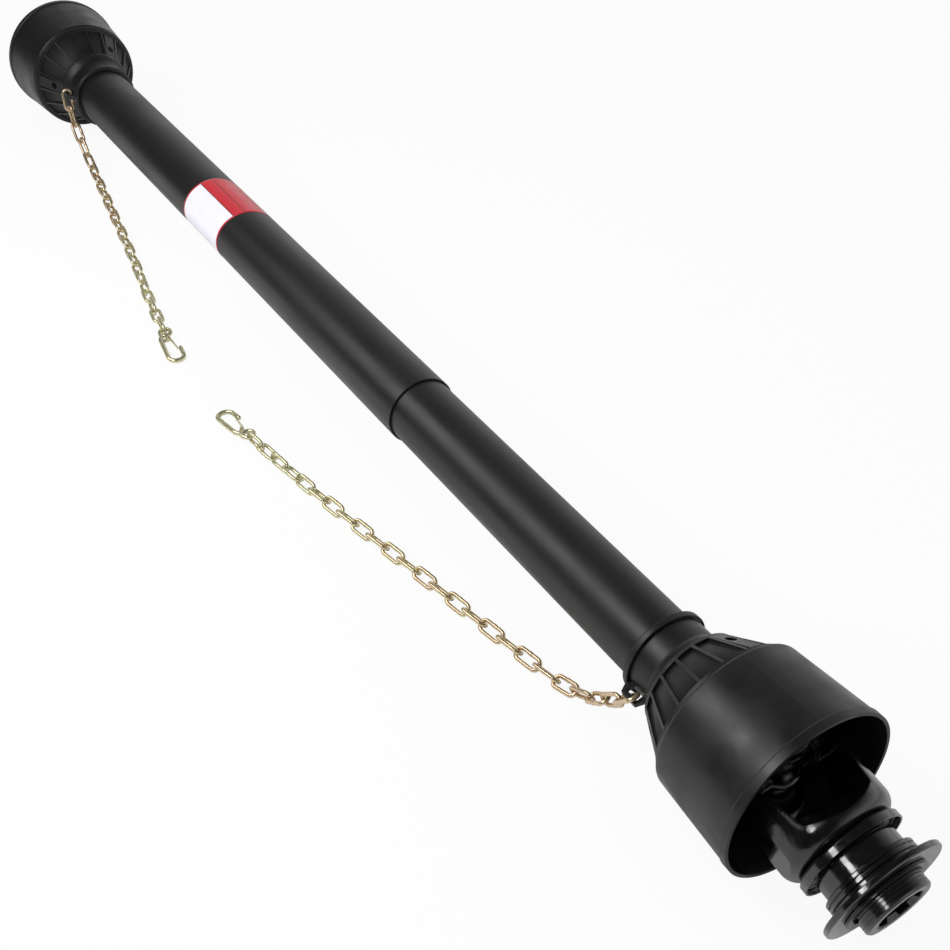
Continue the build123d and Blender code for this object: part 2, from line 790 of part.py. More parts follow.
# Tractor yoke: fork and hub with a six-spline bore, ball holes and the snap ring's groove
hub_base = Vector(tractor_x, 0, 0)
hub_ears = droop_direction.cross(radial(joint_turn + 90)).normalized()
hub_axis = Axis(hub_base, droop_direction)
hub_section = yoke_plane(hub_base, droop_direction, hub_ears)
washer_station = collar_front + seat_gap
ring_station = washer_station + washer_thickness + seat_gap / 2
ball_height = spline_inner_radius + ball_hole_gap + ball_radius
ball_planes = []
for index in range(ball_count):
    out = hub_ears.rotate(hub_axis, index * 360 / ball_count)
    ball_planes.append(Plane(origin=hub_base + droop_direction * ball_station + out * ball_height, z_dir=out))


def station(distance):
    """Plane square to the tractor yoke's hub, at a distance outwards from the joint centre."""
    return Plane(origin=hub_base + droop_direction * distance, x_dir=hub_ears, z_dir=droop_direction)


with BuildPart() as tractor_yoke:
    add(fork_part(hub_base, droop_direction, hub_ears, hub_radius, tractor_reach))
    chamfer(tractor_yoke.faces().sort_by(hub_axis)[-1].edges(), length=hub_chamfer)
    with BuildSketch(station(tractor_reach)):
        with PolarLocations(0, spline_count):
            Rectangle(spline_outer_radius, spline_width, align=(Align.MIN, Align.CENTER))
        Circle(spline_outer_radius, mode=Mode.INTERSECT)
        Circle(spline_inner_radius)
    extrude(amount=saddle_depth - 1 - tractor_reach, mode=Mode.SUBTRACT)
    with BuildSketch(hub_section):
        with BuildLine():
            countersink = bore_countersink - spline_inner_radius
            Polyline(
                (tractor_reach, 0),
                (tractor_reach, bore_countersink),
                (tractor_reach - countersink, spline_inner_radius),
                (tractor_reach - countersink, 0),
                close=True,
            )
        make_face()
    revolve(axis=hub_axis, mode=Mode.SUBTRACT)
    with BuildSketch(station(ring_station)):
        Circle(hub_radius + 1)
        Circle(hub_radius - ring_grip, mode=Mode.SUBTRACT)
    extrude(amount=ring_thickness, mode=Mode.SUBTRACT)
    for index in range(2):
        groove_station = tractor_reach - hub_chamfer - (index + 1) * end_groove_pitch
        with BuildSketch(station(groove_station)):
            Circle(hub_radius + 1)
            Circle(hub_radius - end_groove_depth, mode=Mode.SUBTRACT)
        extrude(amount=end_groove_width, mode=Mode.SUBTRACT)
    with Locations(*ball_planes):
        Sphere(ball_radius + ball_hole_gap, mode=Mode.SUBTRACT)
    with BuildSketch(*ball_planes):
        Circle(ball_radius + ball_hole_gap)
    extrude(amount=hub_radius / 2, mode=Mode.SUBTRACT)
tractor_yoke.part.label = "tractor_yoke"
export_step(tractor_yoke.part, "parts/tractor_yoke.step")

# Lock collar: barrel with a spring chamber, two ridges, a flange and the ramp that frees the balls
ramp_start = ball_station - 0.9
ramp_end = ball_station + ball_radius + collar_travel / 2
ramp_height = hub_radius + collar_gap + ramp_slope * (ramp_end - ramp_start)
barrel_end = collar_front - flange_thickness - 4 - 2 * ridge_width - ridge_groove
ridge_start = barrel_end + ridge_width + ridge_groove
sleeve_start = ridge_start + ridge_width
with BuildPart() as lock_collar:
    with BuildSketch(hub_section):
        with BuildLine():
            Polyline(
                (collar_rear, spring_chamber_radius),
                (collar_rear, barrel_radius),
                (barrel_end, barrel_radius),
                (barrel_end, ridge_radius - 0.6),
                (barrel_end + 0.6, ridge_radius),
                (barrel_end + ridge_width, ridge_radius),
                (barrel_end + ridge_width, sleeve_radius - 0.6),
                (ridge_start, sleeve_radius - 0.6),
                (ridge_start, ridge_radius),
                (sleeve_start - 0.6, ridge_radius),
                (sleeve_start, ridge_radius - 0.6),
                (sleeve_start, sleeve_radius),
                (collar_front - flange_thickness - 1, sleeve_radius),
                (collar_front - flange_thickness, sleeve_radius + 1),
                (collar_front - flange_thickness, flange_radius - 0.5),
                (collar_front - flange_thickness + 0.5, flange_radius),
                (collar_front - 0.8, flange_radius),
                (collar_front, flange_radius - 0.8),
                (collar_front, hub_radius + collar_gap),
                (ramp_end + 2.6, hub_radius + collar_gap),
                (ramp_end + 0.4, ramp_height),
                (ramp_end, ramp_height),
                (ramp_start, hub_radius + collar_gap),
                (spring_chamber_end, hub_radius + collar_gap),
                (spring_chamber_end, spring_chamber_radius),
                close=True,
            )
        make_face()
    revolve(axis=hub_axis)
lock_collar.part.label = "lock_collar"
export_step(lock_collar.part, "parts/lock_collar.step")

# Pressed cup that shields the spring, with one pressed ring in its floor
cup_floor_top = cup_floor_station + cup_wall
with BuildPart() as collar_cup:
    with BuildSketch(hub_section):
        with BuildLine():
            Polyline(
                (cup_floor_station, hub_radius + trunnion_clearance),
                (cup_floor_station, barrel_radius + 0.7),
                (cup_floor_station + cup_step, barrel_radius + 1.7),
                (cup_floor_station + cup_step, barrel_radius + 4.3),
                (cup_floor_station, barrel_radius + 5.3),
                (cup_floor_station, cup_rim_radius - 1.5),
                (cup_floor_station + 1.5, cup_rim_radius),
                (cup_rim_station, cup_rim_radius),
                (cup_rim_station, cup_rim_radius - cup_wall),
                (cup_floor_top + 1, cup_rim_radius - cup_wall),
                (cup_floor_top, cup_rim_radius - cup_wall - 0.8),
                (cup_floor_top, barrel_radius + 5.8),
                (cup_floor_top + cup_step, barrel_radius + 4.8),
                (cup_floor_top + cup_step, barrel_radius + 1.2),
                (cup_floor_top, barrel_radius + 0.2),
                (cup_floor_top, hub_radius + trunnion_clearance),
                close=True,
            )
        make_face()
    revolve(axis=hub_axis)
collar_cup.part.label = "collar_cup"
export_step(collar_cup.part, "parts/collar_cup.step")

with BuildPart() as collar_washer:
    with BuildSketch(station(washer_station)):
        Circle(washer_radius)
        Circle(hub_radius + collar_gap, mode=Mode.SUBTRACT)
    extrude(amount=washer_thickness)
collar_washer.part.label = "collar_washer"
export_step(collar_washer.part, "parts/collar_washer.step")

with BuildPart() as collar_snap_ring:
    with BuildSketch(station(ring_station + trunnion_clearance)):
        Circle(hub_radius - ring_grip + trunnion_clearance + ring_height)
        Circle(hub_radius - ring_grip + trunnion_clearance, mode=Mode.SUBTRACT)
        with Locations((hub_radius, 0)):
            Rectangle(2 * ring_height + 4, ring_opening, mode=Mode.SUBTRACT)
    extrude(amount=ring_thickness - 2 * trunnion_clearance)
collar_snap_ring.part.label = "collar_snap_ring"
export_step(collar_snap_ring.part, "parts/collar_snap_ring.step")

# Collar spring, between the cup's floor and the end of the collar's chamber
spring_start = cup_floor_top + spring_wire_radius + trunnion_clearance
spring_height = spring_chamber_end - trunnion_clearance - spring_wire_radius - spring_start
with BuildPart() as collar_spring:
    with BuildLine() as coil:
        Helix(
            pitch=spring_height / spring_turns,
            height=spring_height,
            radius=(hub_radius + spring_chamber_radius) / 2 + 0.1,
            center=hub_base + droop_direction * spring_start,
            direction=droop_direction,
        )
    with BuildSketch(Plane(origin=coil.line @ 0, z_dir=coil.line % 0)):
        Circle(spring_wire_radius)
    sweep(path=coil.line, is_frenet=True)
collar_spring.part.label = "collar_spring"
export_step(collar_spring.part, "parts/collar_spring.step")

for index, plane in enumerate(ball_planes):
    with BuildPart() as lock_ball:
        with Locations(plane):
            Sphere(ball_radius)
    lock_ball.part.label = f"lock_ball_{index + 1}"
    export_step(lock_ball.part, f"parts/lock_ball_{index + 1}.step")

# Implement yoke: keyed round bore and two set screws, one over the key and one beside it
outer_end = Vector(-1, 0, 0)
implement_centre = Vector(implement_x, 0, 0)
implement_ears = outer_end.cross(radial(joint_turn + 90))
key_side = outer_end.cross(implement_ears)
screw_planes = [Plane(origin=(screw_inset, 0, 0), z_dir=out) for out in (implement_ears, key_side)]
with BuildPart() as implement_yoke:
    add(fork_part(implement_centre, outer_end, implement_ears, implement_hub_radius, implement_reach))
    chamfer(implement_yoke.faces().sort_by(Axis.X)[0].edges(), length=hub_chamfer)
    with BuildSketch(Plane(origin=(0, 0, 0), x_dir=implement_ears, z_dir=(1, 0, 0))):
        Circle(implement_bore_radius)
        Rectangle(implement_bore_radius + key_depth, key_width, align=(Align.MIN, Align.CENTER))
    extrude(amount=implement_reach - saddle_depth + 1, mode=Mode.SUBTRACT)
    with BuildSketch(*screw_planes):
        Circle(screw_radius)
    extrude(amount=implement_hub_radius + 1, mode=Mode.SUBTRACT)
implement_yoke.part.label = "implement_yoke"
export_step(implement_yoke.part, "parts/implement_yoke.step")

screw_seats = [plane.offset(implement_bore_radius + key_depth + 0.2) for plane in screw_planes]
with BuildPart() as implement_set_screws:
    with BuildSketch(*screw_seats):
        Circle(screw_radius)
    extrude(amount=implement_hub_radius - implement_bore_radius - key_depth - 0.5)
    with BuildSketch(*[plane.offset(implement_hub_radius - screw_socket_depth - 0.3) for plane in screw_planes]):
        RegularPolygon(radius=screw_socket_radius, side_count=6)
    extrude(amount=screw_socket_depth + 1, mode=Mode.SUBTRACT)
implement_set_screws.part.label = "implement_set_screws"
export_step(implement_set_screws.part, "parts/implement_set_screws.step")
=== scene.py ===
"""Looks of a farm drive shaft: guard plastic, enamelled forks, lock collar, label, chains and studio."""
import json
import math
import random

import bmesh
import bpy
import numpy as np
from bpy.props import FloatProperty, FloatVectorProperty, IntProperty, PointerProperty
from mathutils import Matrix, Vector


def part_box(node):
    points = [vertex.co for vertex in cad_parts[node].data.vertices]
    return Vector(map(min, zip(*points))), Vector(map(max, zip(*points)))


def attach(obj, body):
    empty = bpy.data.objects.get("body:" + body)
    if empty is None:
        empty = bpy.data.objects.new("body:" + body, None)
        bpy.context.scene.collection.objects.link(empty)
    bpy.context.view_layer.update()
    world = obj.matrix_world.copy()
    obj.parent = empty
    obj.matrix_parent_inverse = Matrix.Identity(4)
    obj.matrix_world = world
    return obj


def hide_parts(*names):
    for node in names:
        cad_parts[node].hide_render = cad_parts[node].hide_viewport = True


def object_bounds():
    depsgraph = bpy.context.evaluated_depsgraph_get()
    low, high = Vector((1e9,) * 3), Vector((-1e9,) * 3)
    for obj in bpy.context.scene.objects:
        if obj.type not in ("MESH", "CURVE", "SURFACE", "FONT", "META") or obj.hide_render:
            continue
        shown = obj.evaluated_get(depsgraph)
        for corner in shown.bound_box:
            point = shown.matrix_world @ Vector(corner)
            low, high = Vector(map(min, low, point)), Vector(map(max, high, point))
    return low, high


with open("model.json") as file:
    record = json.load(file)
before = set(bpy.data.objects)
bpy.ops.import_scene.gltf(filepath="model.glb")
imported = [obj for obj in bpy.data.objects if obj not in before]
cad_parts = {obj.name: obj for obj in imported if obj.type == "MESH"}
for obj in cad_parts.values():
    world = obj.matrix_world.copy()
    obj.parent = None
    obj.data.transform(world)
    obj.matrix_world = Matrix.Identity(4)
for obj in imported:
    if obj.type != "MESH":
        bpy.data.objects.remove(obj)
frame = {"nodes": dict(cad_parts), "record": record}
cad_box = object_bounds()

bl_info = {
    "name": "Farm Drive Shaft",
    "version": (1, 0, 0),
    "blender": (4, 5, 0),
    "location": "3D View > Sidebar > Drive Shaft",
    "description": "Dresses a telescoping farm drive shaft with its finishes, label, chains and studio",
    "category": "Object",
}

MM = 0.001
LONG_WAY = Vector((0.59, -0.37, 0.72))  # the softboxes' long side
MIDDLE = 0.7  # both chains end near this place along the shaft, in metres
CONE_DEPTHS = (79 * MM, 112 * MM)  # a bell's ribbed cone, from its mouth to the cone's two ends
CONE_RADII = (57.5 * MM, 39.5 * MM)
HUB_LENGTH = 46 * MM  # bare steel hub of the tractor yoke, in front of the enamelled fork
SPLINE_RADIUS = 18 * MM
OIL_RELIEF = 25.0  # height of the oil film's unevenness, in lathe rings
nodes = frame["nodes"]
mounts = {mount["name"]: mount for mount in frame["record"]["mounts"]}


def linear(hex_colour):
    """Turns an sRGB hex colour into linear red, green and blue."""
    channels = [int(hex_colour[i : i + 2], 16) / 255 for i in (1, 3, 5)]
    return tuple(c / 12.92 if c <= 0.04045 else ((c + 0.055) / 1.055) ** 2.4 for c in channels)


class GuardFinish(bpy.types.PropertyGroup):
    """Plastic of the bells and guard tubes."""

    bell_colour: FloatVectorProperty(
        name="Bell", description="Colour of the moulded bells", subtype="COLOR", default=linear("#121213")
    )
    tube_colour: FloatVectorProperty(
        name="Tubes", description="Colour of the extruded guard tubes", subtype="COLOR",
        default=linear("#131313"),
    )
    bell_roughness: FloatProperty(
        name="Bell roughness", description="Roughness of the moulded skin", default=0.36, min=0, max=1
    )
    tube_roughness: FloatProperty(
        name="Tube roughness", description="Roughness of the drawn skin", default=0.4, min=0, max=1
    )
    edge_round: FloatProperty(
        name="Edge rounding", description="Radius that the mould leaves on edges", unit="LENGTH",
        default=0.7 * MM,
    )


class MetalFinish(bpy.types.PropertyGroup):
    """Enamel, blackened steel and plated steel."""

    enamel_colour: FloatVectorProperty(
        name="Enamel", description="Stoved enamel of the forks", subtype="COLOR", default=linear("#060607")
    )
    collar_colour: FloatVectorProperty(
        name="Collar", description="Blackened steel of the collar", subtype="COLOR", default=linear("#08080a")
    )
    hub_colour: FloatVectorProperty(
        name="Hub", description="Blackened steel of the splined hub", subtype="COLOR",
        default=linear("#121214"),
    )
    zinc_gold: FloatVectorProperty(
        name="Zinc gold", description="Main tone of yellow zinc", subtype="COLOR", default=linear("#e2d3a8")
    )
    zinc_rose: FloatVectorProperty(
        name="Zinc rose", description="Warm tone of yellow zinc", subtype="COLOR", default=linear("#dcc2a4")
    )
    zinc_green: FloatVectorProperty(
        name="Zinc green", description="Cool tone of yellow zinc", subtype="COLOR", default=linear("#dfe0be")
    )
    forging_round: FloatProperty(
        name="Forging rounding", description="Radius of the forks' edges", unit="LENGTH", default=4.5 * MM
    )


class LabelDesign(bpy.types.PropertyGroup):
    """Blank printed label round the outer guard tube."""

    start: FloatProperty(
        name="Start", description="Distance of its far edge along the shaft", unit="LENGTH", default=502 * MM
    )
    length: FloatProperty(name="Length", description="Size along the tube", unit="LENGTH", default=81 * MM)
    first_angle: FloatProperty(
        name="First angle", description="Where the band starts round the tube", subtype="ANGLE",
        default=math.radians(46),
    )
    band_angle: FloatProperty(
        name="Band angle", description="Where the band meets the panel", subtype="ANGLE",
        default=math.radians(112),
    )
    last_angle: FloatProperty(
        name="Last angle", description="Where the panel ends round the tube", subtype="ANGLE",
        default=math.radians(246),
    )
    skew: FloatProperty(
        name="Skew", description="Shift along the tube once round it", unit="LENGTH", default=38 * MM
    )
    border: FloatProperty(
        name="Border", description="Width of the red border", unit="LENGTH", default=2.2 * MM
    )
    corner: FloatProperty(name="Corner", description="Radius of its corners", unit="LENGTH", default=5 * MM)
    thickness: FloatProperty(
        name="Thickness", description="Vinyl and glue", unit="LENGTH", default=0.15 * MM
    )
    red: FloatVectorProperty(
        name="Red", description="Printed red", subtype="COLOR", default=linear("#c8202f")
    )
    white: FloatVectorProperty(
        name="White", description="Bare vinyl", subtype="COLOR", default=linear("#f1effa")
    )
    rule: FloatVectorProperty(
        name="Rule", description="Dark rules", subtype="COLOR", default=linear("#3a0d12")
    )


class ChainDesign(bpy.types.PropertyGroup):
    """Round-wire links drawn in place of the faceted ones."""

    wire_sides: IntProperty(name="Wire sides", description="Points round the wire", default=14, min=6)
    bend_steps: IntProperty(name="Bend steps", description="Steps round each bend", default=12, min=4)
    weld_swell: FloatProperty(
        name="Weld swell", description="Extra radius at the weld", unit="LENGTH", default=0.28 * MM
    )
    weld_width: FloatProperty(
        name="Weld width", description="Length of the weld", unit="LENGTH", default=1.6 * MM
    )
    plating: FloatProperty(
        name="Plating", description="Radius added to the bare wire", unit="LENGTH", default=0.15 * MM
    )


class StudioView(bpy.types.PropertyGroup):
    """Camera, softboxes and floor."""

    position: FloatVectorProperty(
        name="Position", description="Place of the camera", subtype="TRANSLATION",
        default=(1.6967, -0.4457, 0.6891),
    )
    azimuth: FloatProperty(
        name="Azimuth", description="Turn of the view from +Y", subtype="ANGLE",
        default=math.radians(57.15),
    )
    elevation: FloatProperty(
        name="Elevation", description="Tilt of the view below level", subtype="ANGLE",
        default=math.radians(40.44),
    )
    lens: FloatProperty(
        name="Lens", description="Focal length in millimetres", subtype="DISTANCE_CAMERA", default=50.884
    )
    fill: FloatProperty(name="Fill", description="Level of the even light", default=0.6, min=0)
    long_power: FloatProperty(
        name="Long box", description="Power of the long softbox", unit="POWER", default=6.0
    )
    key_power: FloatProperty(
        name="Key", description="Power of the small softbox", unit="POWER", default=1.2
    )
    side_power: FloatProperty(
        name="Side", description="Power of the box beside the collar", unit="POWER", default=1.5
    )


def add_node(tree, kind, inputs=None, **settings):
    """Adds a node with its settings, and fills or links its inputs."""
    made = tree.nodes.new(kind)
    for name, value in settings.items():
        setattr(made, name, value)
    for key, value in (inputs or {}).items():
        if isinstance(value, bpy.types.NodeSocket):
            tree.links.new(value, made.inputs[key])
        else:
            made.inputs[key].default_value = value
    return made


def combine(tree, operation, *values):
    """Result of arithmetic on numbers or sockets."""
    return add_node(tree, "ShaderNodeMath", dict(enumerate(values)), operation=operation).outputs[0]


def combine_vectors(tree, operation, *vectors):
    """Outputs of vector arithmetic on triples or sockets: 0 for a vector, Value for a number."""
    return add_node(tree, "ShaderNodeVectorMath", dict(enumerate(vectors)), operation=operation).outputs


def start_material(name):
    """An empty material, its tree and the point on the object in metres."""
    material = bpy.data.materials.new(name)
    material.use_nodes = True
    tree = material.node_tree
    tree.nodes.clear()
    point = add_node(tree, "ShaderNodeTexCoord").outputs["Object"]
    return material, tree, point


def per_metre(size_mm):
    """Noise scale whose features are about the given size."""
    return 1000 / size_mm


def mottle(tree, point, size_mm, detail=2.0, stretch=(1, 1, 1)):
    """Soft noise with features of a real size, longer along an axis where stretch is above one."""
    scale = tuple(per_metre(size_mm) / share for share in stretch)
    scaled = combine_vectors(tree, "MULTIPLY", point, scale)[0]
    return add_node(
        tree, "ShaderNodeTexNoise", {"Vector": scaled, "Scale": 1.0, "Detail": detail}
    ).outputs[0]


def remap(tree, value, from_min, from_max, to_min, to_max):
    """Clamped change of range."""
    return add_node(
        tree, "ShaderNodeMapRange", {0: value, 1: from_min, 2: from_max, 3: to_min, 4: to_max}
    ).outputs[0]


def spread(tree, noise, low, high):
    """Noise stretched so that its usual middle range fills the space between two levels."""
    return remap(tree, noise, 0.35, 0.65, low, high)


def blend_values(tree, factor, first, second):
    """Number between two numbers or sockets."""
    return add_node(tree, "ShaderNodeMix", {0: factor, 2: first, 3: second}).outputs[0]


def blend_colours(tree, factor, first, second):
    """Colour between two colours or sockets."""
    inputs = {0: factor}
    for index, colour in ((6, first), (7, second)):
        inputs[index] = colour if isinstance(colour, bpy.types.NodeSocket) else (*colour, 1)
    return add_node(tree, "ShaderNodeMix", inputs, data_type="RGBA").outputs[2]


def bevelled(tree, radius):
    """Normal that rounds the edges off."""
    return add_node(tree, "ShaderNodeBevel", {"Radius": radius}, samples=6).outputs[0]


def rounded_edges(tree, radius):
    """Normal with rounded edges, and a mask that is one on them."""
    bevel = bevelled(tree, radius)
    flat = add_node(tree, "ShaderNodeNewGeometry").outputs["Normal"]
    match = combine_vectors(tree, "DOT_PRODUCT", bevel, flat)["Value"]
    return bevel, remap(tree, match, 0.985, 0.9, 0, 1)


def relief(tree, height, depth_mm, normal=None):
    """Normal bent by a height pattern of a real depth."""
    inputs = {"Height": height, "Strength": 1.0, "Distance": depth_mm * MM}
    if normal is not None:
        inputs["Normal"] = normal
    return add_node(tree, "ShaderNodeBump", inputs).outputs[0]


def turned_point(tree, point, origin, axis):
    """Distance along an axis and radius from it, first as one point for lathe rings, then each alone."""
    arm = combine_vectors(tree, "SUBTRACT", point, tuple(origin))[0]
    along = combine_vectors(tree, "DOT_PRODUCT", arm, tuple(axis))["Value"]
    cross = combine_vectors(tree, "CROSS_PRODUCT", arm, tuple(axis))[0]
    radius = combine_vectors(tree, "LENGTH", cross)["Value"]
    place = add_node(tree, "ShaderNodeCombineXYZ", {0: along, 1: radius}).outputs[0]
    return place, along, radius


def close_material(material, tree, **inputs):
    """Adds the surface shader, its inputs named with underscores for spaces."""
    named = {key.replace("_", " "): value for key, value in inputs.items()}
    if not isinstance(named["Base Color"], bpy.types.NodeSocket):
        named["Base Color"] = (*named["Base Color"][:3], 1)
    shader = add_node(tree, "ShaderNodeBsdfPrincipled", named)
    add_node(tree, "ShaderNodeOutputMaterial", {"Surface": shader.outputs[0]})
    return material


def dress(material, *names):
    """Puts a material on CAD nodes."""
    for name in names:
        for slot in nodes[name].material_slots:
            slot.link = "OBJECT"
            slot.material = material


def moulded_polyethylene(finish, name, mouth, inward):
    """Injection-moulded polyethylene: satin black, handling smudges, edges paler as wear and as a painted
    highlight, pockets rougher and darkened towards the drum with painted shade.
    """
    material, tree, point = start_material("moulded_polyethylene_" + name)
    smudges = mottle(tree, point, 26, 3)
    grain = mottle(tree, point, 0.9)
    _, depth, radius = turned_point(tree, point, (mouth, 0, 0), (inward, 0, 0))
    drum_end, neck_end = CONE_DEPTHS
    # Painted shade: pockets sunk below the cone are darkened, most at the drum end where they are deepest.
    # The same mask also makes them rougher.
    recess = combine(tree, "SUBTRACT", remap(tree, depth, *CONE_DEPTHS, *CONE_RADII), radius)
    by_drum = remap(tree, depth, drum_end + MM, drum_end + 21 * MM, 0.95, 0.15)
    pocket_shade = combine(tree, "MULTIPLY", remap(tree, recess, 0.8 * MM, 2.2 * MM, 0, 1), by_drum)
    pocket_shade = combine(tree, "MULTIPLY", pocket_shade, remap(tree, depth, neck_end - MM, neck_end, 1, 0))
    scuffs = mottle(tree, point, 1.4, 3, (14, 1, 1))
    bevel, edge = rounded_edges(tree, finish.edge_round)
    rubbed = remap(tree, scuffs, 0.68, 0.78, 0, 0.35)
    body = blend_colours(tree, rubbed, tuple(finish.bell_colour), linear("#222223"))
    # Paler edges: partly wear, partly a painted highlight on the rounded rims and ribs.
    edge_wear_and_sheen = combine(tree, "MULTIPLY", edge, 0.45)
    skin = blend_colours(tree, edge_wear_and_sheen, body, linear("#2a2a2b"))
    rough = finish.bell_roughness
    handled = remap(tree, smudges, 0.25, 0.72, rough - 0.08, rough + 0.16)
    dull = combine(tree, "MULTIPLY", pocket_shade, 0.5)
    return close_material(
        material, tree,
        Base_Color=blend_colours(tree, pocket_shade, skin, linear("#040404")),
        Roughness=combine(tree, "ADD", handled, dull),
        IOR=1.5,
        Normal=relief(tree, grain, 0.012, bevel),
    )


def extruded_polyethylene(finish):
    """Extruded polyethylene tube: satin, drawn lines along it and a few long rubs."""
    material, tree, point = start_material("extruded_polyethylene")
    drawn = mottle(tree, point, 1.6, 3, (140, 1, 1))
    smudges = mottle(tree, point, 45, 4, (2, 1, 1))
    bevel, edge = rounded_edges(tree, 0.4 * MM)
    rubs = remap(tree, mottle(tree, point, 2.2, 2, (40, 1, 1)), 0.66, 0.8, 0, 0.4)
    body = blend_colours(tree, rubs, tuple(finish.tube_colour), linear("#222222"))
    # Paler edges: partly wear, partly a painted highlight on the rounded ends.
    edge_wear_and_sheen = combine(tree, "MULTIPLY", edge, 0.4)
    rough = finish.tube_roughness
    return close_material(
        material, tree,
        Base_Color=blend_colours(tree, edge_wear_and_sheen, body, linear("#2a2a29")),
        Roughness=remap(tree, smudges, 0.32, 0.68, rough - 0.05, rough + 0.07),
        IOR=1.5,
        Normal=relief(tree, drawn, 0.008, bevel),
    )


def enamel_skin(tree, point):
    """Height of hammer marks with runs of enamel over them, and the roughness of the enamel."""
    hammered = mottle(tree, point, 7, 3)
    runs = mottle(tree, point, 1.3, 4, (3, 1, 1))
    run_height = 0.16
    height = combine(tree, "MULTIPLY_ADD", runs, run_height, hammered)
    return height, spread(tree, mottle(tree, point, 9, 4), 0.1, 0.26)


def enamelled_forging(finish, name="enamelled_forging"):
    """Stoved enamel over a hammered forging: wet black gloss, broken highlights, edges paler where the enamel
    runs thin and as a painted highlight.
    """
    material, tree, point = start_material(name)
    height, rough = enamel_skin(tree, point)
    bevel, edge = rounded_edges(tree, finish.forging_round)
    # Paler edges: partly thin enamel, partly a painted highlight along the fork's edges.
    thin_enamel_and_sheen = remap(tree, edge, 0.2, 1, 0, 0.3)
    return close_material(
        material, tree,
        Base_Color=blend_colours(tree, thin_enamel_and_sheen, tuple(finish.enamel_colour), linear("#161617")),
        Roughness=rough,
        IOR=1.52,
        Coat_Weight=0.5,
        Coat_Roughness=0.04,
        Normal=relief(tree, height, 0.35, bevel),
    )


def oiled_rings(tree, point, rings):
    """Height of lathe rings under an uneven film of oil."""
    return combine(tree, "MULTIPLY_ADD", mottle(tree, point, 3.5, 3), OIL_RELIEF, rings)


def blackened_steel(name, colour, origin, axis, roughness, gloss):
    """Turned and blackened steel, oiled: rings from the lathe, smears of oil, rubbed edges."""
    material, tree, point = start_material(name)
    place, _, _ = turned_point(tree, point, origin, axis)
    skin = oiled_rings(tree, point, mottle(tree, place, 0.45, 2))
    oil = mottle(tree, point, 6, 4)
    bevel, edge = rounded_edges(tree, 0.5 * MM)
    edge_wear_and_sheen = combine(tree, "MULTIPLY", edge, 0.5)
    return close_material(
        material, tree,
        Base_Color=blend_colours(tree, edge_wear_and_sheen, tuple(colour), linear("#2c2c2e")),
        Roughness=spread(tree, oil, roughness - 0.07, roughness + 0.06),
        Specular_IOR_Level=0.6,
        Coat_Weight=gloss,
        Coat_Roughness=0.05,
        Normal=relief(tree, skin, 0.004, bevel),
    )


def forging_with_hub(finish, origin, axis, hub_depth):
    """Tractor yoke: enamelled fork, and a machined hub with a blackened, oiled finish."""
    material, tree, point = start_material("enamelled_fork_blackened_hub")
    place, along, radius = turned_point(tree, point, origin, axis)
    on_hub = remap(tree, along, -hub_depth - 0.4 * MM, -hub_depth, 0, 1)
    in_bore = remap(tree, radius, SPLINE_RADIUS + 0.4 * MM, SPLINE_RADIUS, 0, 1)
    fork_height, fork_rough = enamel_skin(tree, point)
    film = oiled_rings(tree, point, mottle(tree, place, 0.5, 2))
    grease = mottle(tree, point, 8, 3)
    bevel, edge = rounded_edges(tree, finish.forging_round)
    hub_bevel = bevelled(tree, 0.5 * MM)
    normal = add_node(
        tree, "ShaderNodeMix",
        {0: on_hub, 4: relief(tree, fork_height, 0.35, bevel), 5: relief(tree, film, 0.003, hub_bevel)},
        data_type="VECTOR",
    ).outputs[1]
    hub = blend_colours(tree, in_bore, tuple(finish.hub_colour), linear("#060606"))
    # Paler edges: partly thin enamel, partly a painted highlight along the fork's edges.
    thin_enamel_and_sheen = remap(tree, edge, 0.2, 1, 0, 0.3)
    body = blend_colours(tree, on_hub, tuple(finish.enamel_colour), hub)
    hub_rough = remap(tree, grease, 0.4, 0.6, 0.13, 0.24)
    rough = blend_values(tree, on_hub, fork_rough, hub_rough)
    return close_material(
        material, tree,
        Base_Color=blend_colours(tree, thin_enamel_and_sheen, body, linear("#1d1d1e")),
        Roughness=rough,
        IOR=1.52,
        Coat_Weight=0.4,
        Coat_Roughness=0.06,
        Normal=normal,
    )


def yellow_zinc(finish):
    """Zinc plate with yellow passivation: gold wire with rose and green patches, soft mirror."""
    material, tree, point = start_material("yellow_passivated_zinc")
    tint = add_node(tree, "ShaderNodeAttribute", attribute_name="tint").outputs["Fac"]
    along = add_node(tree, "ShaderNodeSeparateXYZ", {0: point}).outputs["X"]
    away = combine(tree, "ABSOLUTE", combine(tree, "SUBTRACT", along, MIDDLE))
    near_bell = remap(tree, away, 0.15, 0.5, -0.2, 0.35)
    drift = combine(tree, "ADD", mottle(tree, point, 11, 2), tint)
    warmth = combine(tree, "ADD", drift, near_bell)
    coolness = combine(tree, "SUBTRACT", mottle(tree, point, 5, 3), near_bell)
    rose = remap(tree, warmth, 0.45, 0.8, 0, 0.9)
    green = remap(tree, coolness, 0.4, 0.75, 0, 0.8)
    warm = blend_colours(tree, rose, tuple(finish.zinc_gold), tuple(finish.zinc_rose))
    bevel = bevelled(tree, 0.4 * MM)
    return close_material(
        material, tree,
        Base_Color=blend_colours(tree, green, warm, tuple(finish.zinc_green)),
        Metallic=0.85,
        Roughness=spread(tree, mottle(tree, point, 2, 3), 0.14, 0.26),
        Normal=relief(tree, mottle(tree, point, 2.5, 2), 0.01, bevel),
    )


